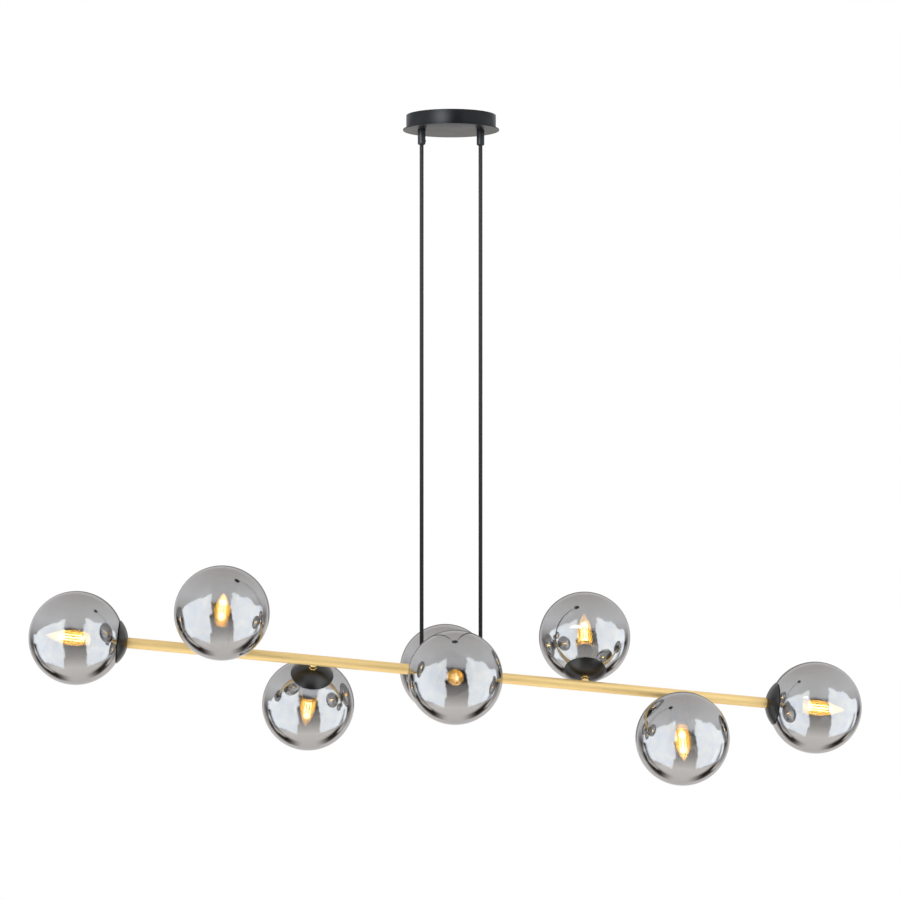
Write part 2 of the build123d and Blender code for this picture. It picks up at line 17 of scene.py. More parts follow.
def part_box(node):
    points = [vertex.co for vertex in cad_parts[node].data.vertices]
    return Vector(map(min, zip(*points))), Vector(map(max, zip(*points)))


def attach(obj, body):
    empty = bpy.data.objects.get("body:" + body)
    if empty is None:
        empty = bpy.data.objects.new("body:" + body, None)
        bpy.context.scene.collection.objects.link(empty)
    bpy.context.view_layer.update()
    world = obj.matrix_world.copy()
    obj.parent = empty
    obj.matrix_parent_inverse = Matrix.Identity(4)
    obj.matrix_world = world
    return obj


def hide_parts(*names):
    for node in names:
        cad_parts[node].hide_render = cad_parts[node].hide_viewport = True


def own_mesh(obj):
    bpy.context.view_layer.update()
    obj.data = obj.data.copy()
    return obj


bl_info = {
    "name": "Globe bar pendant",
    "version": (1, 0, 0),
    "blender": (4, 5, 0),
    "location": "View3D > Sidebar > Pendant",
    "description": "Models, finishes and lights a pendant with eight smoked glass globes",
    "category": "Add Mesh",
}

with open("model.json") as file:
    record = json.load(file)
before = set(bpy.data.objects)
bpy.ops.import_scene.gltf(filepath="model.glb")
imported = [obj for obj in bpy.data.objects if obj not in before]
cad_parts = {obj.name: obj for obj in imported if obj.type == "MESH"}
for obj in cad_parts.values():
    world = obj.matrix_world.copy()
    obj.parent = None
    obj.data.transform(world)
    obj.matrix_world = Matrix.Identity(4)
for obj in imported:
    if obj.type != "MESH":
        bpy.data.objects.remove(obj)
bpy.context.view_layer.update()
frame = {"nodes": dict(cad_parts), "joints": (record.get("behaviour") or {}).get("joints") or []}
nodes = frame["nodes"]
joints = {joint["name"]: joint for joint in frame["joints"]}

MM = 0.001
SMOOTH_ANGLE = math.radians(35)
SIDES = {"left": -1, "right": 1}
HEADS = range(1, 9)
SIDE_HEADS = range(2, 8)
ALONG_X = Matrix.Rotation(math.pi / 2, 4, "Y")
TO_THE_BACK = Matrix.Rotation(-math.pi / 2, 4, "X")

# Steps of a full turn
CANOPY_STEPS = 160
GLOBE_STEPS = 128
SMALL_STEPS = 64
FERRULE_STEPS = 48
THIN_STEPS = 32
FILAMENT_STEPS = 16

# Room left between parts
SEAT_PLAY = 0.05 * MM
DRILL_PLAY = 0.1 * MM
CORD_PLAY = 0.4 * MM
SKIRT_GAP = 0.4 * MM
SOCKET_DEPTH = 25.0 * MM

# Rounding of edges
EDGE_SEGMENTS = 3
EDGES = {
    "grip": 0.25 * MM,
    "tube": 0.2 * MM,
    "socket": 0.5 * MM,
    "ferrule": 0.25 * MM,
    "stem": 0.3 * MM,
    "cup": 0.35 * MM,
    "holder": 0.3 * MM,
    "bulb_cap": 0.2 * MM,
    "bulb_glass": 0.1 * MM,
    "post": 0.15 * MM,
    "globe": 0.5 * MM,
}

# Patterns of the finishes
PATTERN_LOW = 0.3
PATTERN_HIGH = 0.7
BRUSH_STRETCH = (6, 400, 400)
BRAID_TURNS = 320
BRAID_STRANDS = 8
MIX_FIRST = 6
MIX_SECOND = 7
MIX_RESULT = 2

# The room on a mirror ball: tones from bottom to top, places as left, right, low and high from -1 to 1
ROOM_TONES = [
    (0.00, (0.44, 0.42, 0.41)),
    (0.20, (0.58, 0.565, 0.55)),
    (0.32, (0.29, 0.28, 0.27)),
    (0.45, (0.12, 0.115, 0.11)),
    (0.58, (0.40, 0.405, 0.42)),
    (0.68, (0.48, 0.49, 0.51)),
    (0.85, (0.42, 0.42, 0.425)),
    (1.00, (0.33, 0.32, 0.31)),
]
PANELS = ((-0.86, -0.20, -0.60, 0.40), (0.25, 0.88, -0.62, 0.48))
PANEL_EDGE = 0.022
PANEL_TINTS = ((0.80, 0.87, 1.0), (0.96, 1.0, 1.0))
CORNER = (-0.32, 0.30, -0.10, 0.23)
CORNER_EDGE = 0.04
CORNER_TINT = (0.020, 0.014, 0.008, 1)
CRESCENT_TINT = (0.015, 0.010, 0.007, 1)
RIM_TINT = (0.46, 0.46, 0.465, 1)
BACKDROP_TINTS = ((0.15, 0.145, 0.14, 1), (0.50, 0.49, 0.475, 1))

# Places read from the frame
band_low, band_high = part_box("canopy_band")
plate_low, plate_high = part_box("canopy_plate")
grip_low, grip_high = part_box("cord_grip_right")
cord_low, cord_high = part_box("cord_right")
ferrule_low, ferrule_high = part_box("cord_ferrule_right")
tube_low, tube_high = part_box("bar_tube")
tube_radius = (tube_high[1] - tube_low[1]) / 2
cord_radius = (cord_high[0] - cord_low[0]) / 2
cord_x = (cord_low[0] + cord_high[0]) / 2
bar_axis = Vector(joints["globe_8_lift_off"]["axis"]).normalized()


# Settings
def length(name, description, default):
    """A size that a user may change."""
    return FloatProperty(
        name=name, description=description, default=default, min=0.0, unit="LENGTH", precision=4
    )


def colour(name, description, default):
    """A linear colour that a user may change."""
    return FloatVectorProperty(
        name=name, description=description, default=default, subtype="COLOR", size=3, min=0.0, max=1.0
    )


def share(name, description, default, most=1.0):
    """A plain factor that a user may change."""
    return FloatProperty(name=name, description=description, default=default, min=0.0, max=most)


def angle(name, description, degrees):
    """An angle that a user may change."""
    return FloatProperty(name=name, description=description, default=math.radians(degrees), subtype="ANGLE")


class CanopySizes(PropertyGroup):
    """Canopy and cord grips."""

    band_wall: length("Band wall", "Thickness of the canopy's band", 1.2 * MM)
    edge_round: length("Edge round", "Rounding of the band's edges", 0.4 * MM)
    plate_thickness: length("Plate", "Thickness of the face plate", 1.5 * MM)
    plate_round: length("Plate round", "Rounding of the face plate's edge", 0.6 * MM)
    upstand_wall: length("Upstand", "Thickness of the ring that seats in the band", 1.2 * MM)
    grip_shank: length("Grip shank", "Radius of the grip's thread", 5.0 * MM)
    grip_end_round: length("Grip end", "Rounding of the grip's lower end", 2.0 * MM)
    grip_flare: length("Grip flare", "Widening of the grip's mouth", 0.9 * MM)
    screw_hole: length("Screw hole", "Radius of the holes for the band's grub screws", 2.1 * MM)


class BarSizes(PropertyGroup):
    """Bar, sockets, ferrules and stems."""

    tube_wall: length("Tube wall", "Thickness of the bar's tube", 1.0 * MM)
    socket_radius: length("Socket", "Radius of the collars that take the cords", 7.8 * MM)
    socket_bore: length("Socket bore", "Radius of the hole in a collar", 6.0 * MM)
    socket_height: length("Socket height", "Height of a collar above the tube", 14.0 * MM)
    ferrule_wall: length("Ferrule wall", "Thickness of the sleeve on a cord's end", 1.3 * MM)
    stem_radius: length("Stem", "Radius of a stem at the bar", 6.0 * MM)
    stem_waist: length("Stem waist", "Radius of a stem at its narrowest", 4.6 * MM)
    stem_length: length("Stem length", "From the tube to the cup", 8.0 * MM)
    thread_radius: length("Thread", "Radius of the hollow thread through cup and holder", 5.0 * MM)


class HeadSizes(PropertyGroup):
    """Cups, lampholders, bulbs and globes, all in the head's own frame."""

    cup_radius: length("Cup", "Radius of the black cup at its rim", 32.5 * MM)
    cup_depth: length("Cup depth", "From the cup's apex to its rim", 13.0 * MM)
    cup_wall: length("Cup wall", "Thickness of the cup", 1.2 * MM)
    cup_flat: length("Cup flat", "Radius of the flat at the cup's apex", 8.5 * MM)
    globe_radius: length("Globe", "Outer radius of a globe", 70.0 * MM)
    globe_wall: length("Globe wall", "Thickness of the glass", 2.2 * MM)
    globe_gap: length("Globe gap", "Clearance between globe and cup", 0.4 * MM)
    neck_bore: length("Neck bore", "Inner radius of the globe's neck", 16.0 * MM)
    holder_radius: length("Holder", "Radius of a lampholder", 12.5 * MM)
    holder_end: length("Holder end", "From the cup's apex to the end of the lampholder", 54.5 * MM)
    skirt_radius: length("Skirt", "Radius of the bulb's gold skirt", 10.0 * MM)
    skirt_length: length("Skirt length", "Length of the bulb's gold skirt", 9.0 * MM)
    bulb_radius: length("Bulb", "Radius of the bulb where it is widest", 12.0 * MM)
    bulb_neck: length("Bulb neck", "Radius of the bulb at its skirt", 8.5 * MM)
    bulb_tip: length("Bulb tip", "From the cup's apex to the bulb's tip", 122.5 * MM)
    filament_radius: length("Filament", "Radius of a filament rod", 0.65 * MM)
    filament_count: IntProperty(
        name="Filaments", description="Filament rods in a bulb", default=4, min=1, max=8
    )


class Finishes(PropertyGroup):
    """Colours of the finishes."""

    black_coat: colour("Black coat", "Satin black of the canopy", (0.005, 0.005, 0.0055))
    brass: colour("Brass", "Pale gold of bar and stems", (0.81, 0.580, 0.245))
    # This gold is also the colour of the skirt's painted glow: the skirt gives off a little light, though it
    # is no lamp.
    skirt_gold_and_painted_glow: colour("Skirt gold", "Gold of the bulb's skirt", (0.86, 0.58, 0.20))
    mirror_grey: colour("Mirror grey", "Tint of the globe's half mirror", (0.50, 0.493, 0.485))
    mirror_cover: share("Mirror cover", "Share of the light that the half mirror keeps from passing", 0.44)
    smoke: colour("Smoke", "Colour of the glass itself", (0.060, 0.042, 0.032))
    smoke_depth: share("Smoke depth", "Share of the light that the glass takes on its way", 0.10)
    amber: colour("Amber", "Tint of the bulb's glass", (1.0, 0.75, 0.25))
    amber_edge: colour("Amber edge", "Glow at the edge of the bulb's glass", (1.0, 0.45, 0.06))
    glow: colour("Glow", "Colour of the lit filament", (1.0, 0.80, 0.45))
    glow_strength: share("Glow strength", "Brightness of the lit filament", 14.0, 200.0)
    braid: colour("Braid", "Black of the cords", (0.0075, 0.0073, 0.0071))
    # Painted reflection: the lampholders are black plastic, and this pale bluish grey paints the light that
    # the globe's glass lays over them.
    holder_painted_reflection: colour("Holder", "Slate plastic of the lampholders", (0.42, 0.475, 0.56))


class StudioSettings(PropertyGroup):
    """Camera and light."""

    camera_distance: length("Camera distance", "From the camera to the axis of the canopy", 3.827)
    camera_height: FloatProperty(
        name="Camera height", description="Height of the lens", default=-0.588, unit="LENGTH"
    )
    camera_turn: angle("Camera turn", "Where the camera stands, from the front towards the right", -4.67)
    sensor: share("Sensor", "Width of the sensor in millimetres", 36.0, 100.0)
    lens: share("Lens", "Focal length in millimetres", 101.6, 400.0)
    rise: FloatProperty(name="Rise", description="Lens shift upwards, in frame widths", default=0.0622)
    drift: FloatProperty(name="Drift", description="Lens shift sideways, in frame widths", default=-0.0012)
    panel_light: share("Panels", "Brightness of the room with its two panels", 2.35, 50.0)
    softbox_distance: length("Softbox distance", "From the canopy's band to its softbox", 0.8)
    softbox_turn: angle("Softbox turn", "Where the softbox stands, from the camera's side to the right", -25)
    softbox_lift: angle("Softbox lift", "How far the softbox stands above the band", 8)
    softbox_width: length("Softbox width", "Side of the softbox", 0.85)
    softbox_spread: angle("Softbox spread", "How far the softbox's grid lets its light spread", 52)
    softbox_power: share("Softbox power", "Power of the softbox in watts", 4.2, 50.0)
    softbox_tint: colour("Softbox tint", "Colour of the softbox's light", (0.86, 0.93, 1.0))


# Modelling helpers
def start_fresh():
    """Object mode with nothing selected, so the next operator acts on new work alone."""
    if bpy.context.object and bpy.context.object.mode != "OBJECT":
        bpy.ops.object.mode_set(mode="OBJECT")
    bpy.ops.object.select_all(action="DESELECT")


def pick(piece):
    """Make a piece the only selected one."""
    start_fresh()
    piece.select_set(True)
    bpy.context.view_layer.objects.active = piece


def turned(name, outline, steps):
    """Lathe work about Z: the half section is drawn corner by corner and spun."""
    start_fresh()
    bpy.ops.mesh.primitive_plane_add(size=MM)
    piece = bpy.context.object
    piece.name = name
    bpy.ops.object.mode_set(mode="EDIT")
    bpy.ops.mesh.merge(type="CENTER")
    bpy.ops.transform.translate(value=(outline[0][0], 0, outline[0][1]))
    for (r_from, z_from), (r_to, z_to) in zip(outline, outline[1:]):
        step = (r_to - r_from, 0, z_to - z_from)
        bpy.ops.mesh.extrude_vertices_move(TRANSFORM_OT_translate={"value": step})
    bpy.ops.mesh.select_all(action="SELECT")
    bpy.ops.mesh.spin(steps=steps, angle=2 * math.pi, center=(0, 0, 0), axis=(0, 0, 1))
    bpy.ops.mesh.select_all(action="SELECT")
    bpy.ops.mesh.remove_doubles(threshold=MM / 1000)
    bpy.ops.mesh.normals_make_consistent(inside=False)
    bpy.ops.object.mode_set(mode="OBJECT")
    return piece


def rod(name, radius, z_low, z_high, x=0.0, y=0.0, steps=THIN_STEPS):
    """Upright round rod."""
    start_fresh()
    middle = (x, y, (z_low + z_high) / 2)
    bpy.ops.mesh.primitive_cylinder_add(vertices=steps, radius=radius, depth=z_high - z_low, location=middle)
    piece = bpy.context.object
    piece.name = name
    bpy.ops.object.transform_apply(location=True, rotation=True, scale=True)
    return piece


def soften(piece, width):
    """Round every sharp edge and shade the rest smooth."""
    pick(piece)
    bevel = piece.modifiers.new("edges", "BEVEL")
    bevel.width = width
    bevel.segments = EDGE_SEGMENTS
    bevel.limit_method = "ANGLE"
    bevel.angle_limit = SMOOTH_ANGLE
    bpy.ops.object.modifier_apply(modifier=bevel.name)
    bpy.ops.object.shade_smooth_by_angle(angle=SMOOTH_ANGLE)
    return piece


def cut(piece, *cutters):
    """Take the cutters out of a piece and throw them away."""
    for cutter in cutters:
        pick(piece)
        hole = piece.modifiers.new("hole", "BOOLEAN")
        hole.object = cutter
        bpy.ops.object.modifier_apply(modifier=hole.name)
        bpy.data.objects.remove(cutter)


def place(piece, matrix):
    """Move a piece and put its place into its mesh."""
    pick(piece)
    piece.matrix_world = matrix
    bpy.ops.object.transform_apply(location=True, rotation=True, scale=True)
    return piece


def copy(piece, name):
    """A second piece with a mesh of its own."""
    pick(piece)
    bpy.ops.object.duplicate(linked=False)
    twin = bpy.context.object
    twin.name = name
    twin.data.name = name
    return twin


def joined(name, pieces):
    """Several meshes as one piece."""
    pick(pieces[0])
    for piece in pieces[1:]:
        piece.select_set(True)
    bpy.ops.object.join()
    pieces[0].name = name
    pieces[0].data.name = name
    return pieces[0]


def settle(piece, body, slot, finishes, *replaced):
    """Give a piece its finishes, its body and the CAD nodes it stands for."""
    piece.data.materials.clear()
    for name in finishes:
        piece.data.materials.append(finish(name))
    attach(piece, body)
    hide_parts(*replaced)


def settle_copies(first, places, tail, slot, finishes, body=None):
    """Placed copies of a piece, each for one CAD node and on one body or the node's own."""
    for node, matrix in places.items():
        piece = place(copy(first, f"{node}_{tail}"), matrix)
        settle(piece, body or node, slot, finishes, node)
    bpy.data.objects.remove(first)


def gathered(name, first, places):
    """Placed copies of a piece, joined as one."""
    copies = [place(copy(first, each), matrix) for each, matrix in places.items()]
    bpy.data.objects.remove(first)
    return joined(name, copies)


# Outlines and places
def ring(outer, inner, low, high):
    """Half section of a plain ring."""
    return [(outer, low), (outer, high), (inner, high), (inner, low), (outer, low)]


def near_arc(centre, radius, start, end, count):
    """(r, z) points on a sphere about Z, between two angles from the pole on the bar's side."""
    angles = [start + (end - start) * step / count for step in range(count + 1)]
    return [(radius * math.sin(turn), centre - radius * math.cos(turn)) for turn in angles]


def cup_apex(number):
    """Where a head's axis meets the apex of its cup."""
    return Vector(joints[f"bulb_{number}_unscrew"]["pos_m"])


def head_frame(number):
    """Place of a head: origin at the cup's apex, Z towards the globe, X along the bar on a side head."""
    out = Vector(joints[f"globe_{number}_lift_off"]["axis"]).normalized()
    along = bar_axis if number in SIDE_HEADS else Vector((0, 1, 0))
    along = (along - out * along.dot(out)).normalized()
    turn = Matrix((along, out.cross(along), out)).transposed()
    return Matrix.Translation(cup_apex(number)) @ turn.to_4x4()


def bar_frame():
    """Place of the bar: origin at the tube's middle, X to its right end, Y as in the room."""
    back = Vector((0, 1, 0))
    turn = Matrix((bar_axis, back, bar_axis.cross(back))).transposed()
    return Matrix.Translation((cup_apex(HEADS[0]) + cup_apex(HEADS[-1])) / 2) @ turn.to_4x4()


def head_places(stem, numbers=HEADS):
    """Frames of the heads, by name."""
    return {f"{stem}_{number}": head_frame(number) for number in numbers}


def cord_places(stem):
    """Upright frames on the two cords' lines, by name."""
    return {f"{stem}_{side}": Matrix.Translation((sign * cord_x, 0, 0)) for side, sign in SIDES.items()}


def cup_dome(sizes):
    """Middle and radius of the sphere that the cup is part of."""
    middle = (sizes.cup_radius**2 + sizes.cup_depth**2 - sizes.cup_flat**2) / (2 * sizes.cup_depth)
    return middle, math.hypot(sizes.cup_flat, middle)


def globe_centre(sizes):
    """From the cup's apex to the middle of the globe."""
    dome_middle, dome_radius = cup_dome(sizes)
    mouth = math.sqrt((dome_radius - sizes.cup_wall) ** 2 - (dome_middle - sizes.cup_depth) ** 2)
    return sizes.cup_depth + math.sqrt(sizes.globe_radius**2 - mouth**2) + sizes.globe_gap


# Node helpers
def new_finish(name):
    """A node material with its tree and its shader."""
    material = bpy.data.materials.new(f"{name}_finish")
    material.use_nodes = True
    tree = material.node_tree
    tree.nodes.clear()
    shader = tree.nodes.new("ShaderNodeBsdfPrincipled")
    output = tree.nodes.new("ShaderNodeOutputMaterial")
    tree.links.new(shader.outputs["BSDF"], output.inputs["Surface"])
    return material, tree, shader


def feed(tree, node, inputs):
    """A node with its inputs set or linked."""
    for key, value in inputs.items():
        if isinstance(value, bpy.types.NodeSocket):
            tree.links.new(value, node.inputs[key])
        else:
            node.inputs[key].default_value = value
    return node


def add_node(tree, kind, inputs, **settings):
    """A new node with its settings and inputs."""
    made = tree.nodes.new(kind)
    for key, value in settings.items():
        setattr(made, key, value)
    return feed(tree, made, inputs)


def object_coordinates(tree, scale=(1, 1, 1), turn=(0, 0, 0)):
    """Object coordinates, turned and stretched."""
    coordinates = add_node(tree, "ShaderNodeTexCoord", {}).outputs["Object"]
    inputs = {"Vector": coordinates, "Scale": scale, "Rotation": turn}
    return add_node(tree, "ShaderNodeMapping", inputs).outputs["Vector"]


def parts_of(tree, vector):
    """X, Y and Z of a vector."""
    return add_node(tree, "ShaderNodeSeparateXYZ", {"Vector": vector}).outputs


def noise(tree, vector, scale, detail=2.0):
    """Height of a noise pattern, scale in waves per metre."""
    inputs = {"Vector": vector, "Scale": scale, "Detail": detail}
    return add_node(tree, "ShaderNodeTexNoise", inputs).outputs["Fac"]


def maths(tree, operation, *values):
    """Result of one Math node."""
    return add_node(tree, "ShaderNodeMath", dict(enumerate(values)), operation=operation).outputs["Value"]


def product(tree, first, *others):
    """Several factors multiplied."""
    for other in others:
        first = maths(tree, "MULTIPLY", first, other)
    return first


def between(tree, factor, low, high):
    """The usual heights of a pattern spread from low to high."""
    inputs = {
        "Value": factor, "From Min": PATTERN_LOW, "From Max": PATTERN_HIGH, "To Min": low, "To Max": high
    }
    return add_node(tree, "ShaderNodeMapRange", inputs).outputs["Result"]


def faded(tree, value, start, end, kind="SMOOTHSTEP"):
    """0 before start, 1 after end, and a smooth change between them."""
    inputs = {"Value": value, "From Min": start, "From Max": end, "To Min": 0.0, "To Max": 1.0}
    return add_node(tree, "ShaderNodeMapRange", inputs, interpolation_type=kind).outputs["Result"]


def window(tree, value, low, high, edge):
    """1 between two soft limits and 0 outside them."""
    rising = faded(tree, value, low - edge, low + edge)
    falling = faded(tree, value, high + edge, high - edge)
    return product(tree, rising, falling)


def turned_away(tree):
    """0 where a surface faces the viewer and 1 at its rim."""
    return add_node(tree, "ShaderNodeLayerWeight", {"Blend": 0.5}).outputs["Facing"]


def bumped(tree, height, strength, distance):
    """Normals of a surface with a pattern's height."""
    inputs = {"Height": height, "Strength": strength, "Distance": distance}
    return add_node(tree, "ShaderNodeBump", inputs).outputs["Normal"]


def ramped(tree, factor, stops):
    """A colour that follows a factor through the given stops."""
    ramp = add_node(tree, "ShaderNodeValToRGB", {"Fac": factor})
    for stop in stops[2:]:
        ramp.color_ramp.elements.new(stop[0])
    for element, (position, tint) in zip(ramp.color_ramp.elements, stops):
        element.position = position
        element.color = (*tint, 1)
    return ramp.outputs["Color"]


def shaded(tree, factor, dark, light):
    """A pattern's height as a colour between two."""
    return ramped(tree, factor, [(PATTERN_LOW, dark), (PATTERN_HIGH, light)])


def dimmed(tint, factor):
    """A colour made darker or lighter."""
    return tuple(min(1.0, channel * factor) for channel in tint)


def varied(tree, factor, tint, dark, light):
    """A colour that a pattern changes between two shares of itself."""
    return shaded(tree, factor, dimmed(tint, dark), dimmed(tint, light))


def mixed(tree, factor, first, second):
    """Two colours mixed by a factor."""
    inputs = {"Factor": factor, MIX_FIRST: first, MIX_SECOND: second}
    return add_node(tree, "ShaderNodeMix", inputs, data_type="RGBA").outputs[MIX_RESULT]


# Finishes
def grained(
    name, tint, roughness, grain, depth=0.02 * MM, metallic=0.0, patch=25.0, contrast=0.15, gloss=0.5,
    glow=0.0
):
    """A finish with a fine grain, and colour and gloss that vary a little over the surface; glow, if given,
    is a painted glow of the finish's own colour.
    """
    material, tree, shader = new_finish(name)
    vector = object_coordinates(tree)
    broad = noise(tree, vector, patch, 4.0)
    feed(tree, shader, {
        "Base Color": varied(tree, broad, tint, 1 - contrast, 1 + contrast),
        "Roughness": between(tree, broad, roughness * 0.88, roughness * 1.12),
        "Normal": bumped(tree, noise(tree, vector, grain), 0.35, depth),
        "Metallic": metallic,
        "Specular IOR Level": gloss,
    })
    # Painted glow: the surface gives off light of its own colour, though the part is no lamp.
    if glow:
        feed(tree, shader, {"Emission Color": (*tint, 1), "Emission Strength": glow})
    return material


def brushed(name, tint, roughness, turn):
    """Metal with fine lines along one direction."""
    material, tree, shader = new_finish(name)
    lines = noise(tree, object_coordinates(tree, BRUSH_STRETCH, turn), 4.0, 3.0)
    broad = noise(tree, object_coordinates(tree), 14.0, 3.0)
    feed(tree, shader, {
        "Base Color": varied(tree, lines, tint, 0.97, 1.02),
        "Roughness": between(tree, broad, roughness * 0.85, roughness * 1.15),
        "Normal": bumped(tree, lines, 0.06, 0.05 * MM),
        "Metallic": 0.55,
    })
    return material


def half_mirror(name, finishes):
    """Outside of a globe: a thin grey metal film that lets part of the light through."""
    material, tree, shader = new_finish(name)
    vector = object_coordinates(tree)
    waves = noise(tree, vector, 16.0, 1.0)
    film = noise(tree, vector, 9.0, 3.0)
    cover = {"Value": turned_away(tree), "To Min": finishes.mirror_cover, "To Max": 1.0}
    feed(tree, shader, {
        "Base Color": varied(tree, film, finishes.mirror_grey, 0.97, 1.02),
        "Roughness": between(tree, film, 0.012, 0.03),
        "Normal": bumped(tree, waves, 0.05, 1.0 * MM),
        "Metallic": 1.0,
        "Specular Tint": (0.74, 0.73, 0.73, 1),
        "Alpha": add_node(tree, "ShaderNodeMapRange", cover).outputs["Result"],
    })
    return material


def smoke_glass(name, finishes):
    """Inside of a globe: clear gloss over brown-grey glass."""
    material, tree, shader = new_finish(name)
    depth = noise(tree, object_coordinates(tree), 12.0)
    feed(tree, shader, {
        "Base Color": varied(tree, depth, finishes.smoke, 0.85, 1.15),
        "Roughness": 0.12,
        "Specular IOR Level": 0.15,
        "Alpha": finishes.smoke_depth,
    })
    return material


def amber_glass(name, finishes):
    """Glass of a lit bulb: amber, faintly glowing, and darker at its edge."""
    material, tree, shader = new_finish(name)
    streaks = noise(tree, object_coordinates(tree), 60.0)
    rim = turned_away(tree)
    feed(tree, shader, {
        "Base Color": varied(tree, streaks, finishes.amber, 0.92, 1.05),
        "Roughness": 0.05,
        "Alpha": between(tree, rim, 0.30, 0.80),
        "Emission Color": shaded(tree, rim, finishes.amber, finishes.amber_edge),
        "Emission Strength": between(tree, rim, 0.95, 0.30),
    })
    return material


def lit_filament(name, finishes):
    """Filament rods of a lit bulb, with a faint pattern of beads."""
    material, tree, shader = new_finish(name)
    beads = noise(tree, object_coordinates(tree), 700.0, 1.0)
    feed(tree, shader, {
        "Base Color": (*finishes.glow, 1),
        "Emission Color": varied(tree, beads, finishes.glow, 0.8, 1.0),
        "Emission Strength": finishes.glow_strength,
    })
    return material


def braided(name, finishes):
    """Black textile braid: two sets of strands that cross, on the cord's own UV map."""
    material, tree, shader = new_finish(name)
    surface = add_node(tree, "ShaderNodeUVMap", {}).outputs["UV"]
    strands = []
    for lean in (1, -1):
        scale = (BRAID_TURNS * 2 * math.pi, lean * BRAID_STRANDS * 2 * math.pi, 1)
        mapping = add_node(tree, "ShaderNodeMapping", {"Vector": surface, "Scale": scale})
        parts = parts_of(tree, mapping.outputs["Vector"])
        strands.append(maths(tree, "SINE", maths(tree, "ADD", parts["X"], parts["Y"])))
    weave = maths(tree, "MAXIMUM", *strands)
    fuzz = noise(tree, object_coordinates(tree), 2500.0)
    feed(tree, shader, {
        "Base Color": varied(tree, weave, finishes.braid, 0.85, 1.08),
        "Roughness": 0.7,
        "Normal": bumped(tree, maths(tree, "MULTIPLY_ADD", fuzz, 0.5, weave), 0.3, 0.05 * MM),
        "Specular IOR Level": 0.25,
    })
    return material


def finish(name):
    """The named finish, made when it is first asked for."""
    made = bpy.data.materials.get(f"{name}_finish")
    if made:
        return made
    tints = bpy.context.scene.pendant_finishes
    bar_turn = (0, -math.asin(bar_axis.z), 0)
    makers = {
        "black_coat": lambda: grained(name, tints.black_coat, roughness=0.34, grain=1400.0, gloss=0.1),
        "satin_black": lambda: grained(
            name, (0.048, 0.047, 0.045), roughness=0.32, grain=1400.0, metallic=1.0, contrast=0.08
        ),
        # Painted reflection: the black lampholders get a pale bluish grey.
        "holder_painted_reflection": lambda: grained(name, tints.holder_painted_reflection, roughness=0.32, grain=900.0),
        "black_metal": lambda: grained(
            name, (0.018, 0.018, 0.019), roughness=0.40, grain=1500.0, depth=0.003 * MM,
            metallic=0.5, contrast=0.05, gloss=0.2
        ),
        "brass": lambda: brushed(name, tints.brass, roughness=0.50, turn=bar_turn),
        "turned_brass": lambda: grained(
            name, tints.brass, roughness=0.16, grain=1600.0, depth=0.01 * MM, metallic=1.0, contrast=0.04
        ),
        # Painted glow on the gold skirt, though it is no lamp.
        "skirt_gold_and_painted_glow": lambda: grained(
            name, tints.skirt_gold_and_painted_glow, roughness=0.18, grain=1200.0, metallic=1.0, contrast=0.06, glow=0.45
        ),
        "smoked_mirror": lambda: half_mirror(name, tints),
        "smoked_glass": lambda: smoke_glass(name, tints),
        "bulb_amber": lambda: amber_glass(name, tints),
        "bulb_filament": lambda: lit_filament(name, tints),
        "bulb_post": lambda: grained(name, (0.75, 0.72, 0.62), roughness=0.15, grain=500.0, contrast=0.05),
        "black_braid": lambda: braided(name, tints),
        "soft_seal": lambda: grained(
            name, (0.03, 0.03, 0.032), roughness=0.7, grain=800.0, depth=0.05 * MM
        ),
        "zinc_steel": lambda: grained(
            name, (0.62, 0.63, 0.62), roughness=0.34, grain=220.0, depth=0.03 * MM,
            metallic=1.0, patch=60.0, contrast=0.1
        ),
        "white_plastic": lambda: grained(
            name, (0.82, 0.81, 0.77), roughness=0.42, grain=700.0, depth=0.03 * MM, contrast=0.04
        ),
        "wire": lambda: grained(name, (0.16, 0.07, 0.035), roughness=0.45, grain=900.0),
    }
    return makers[name]()


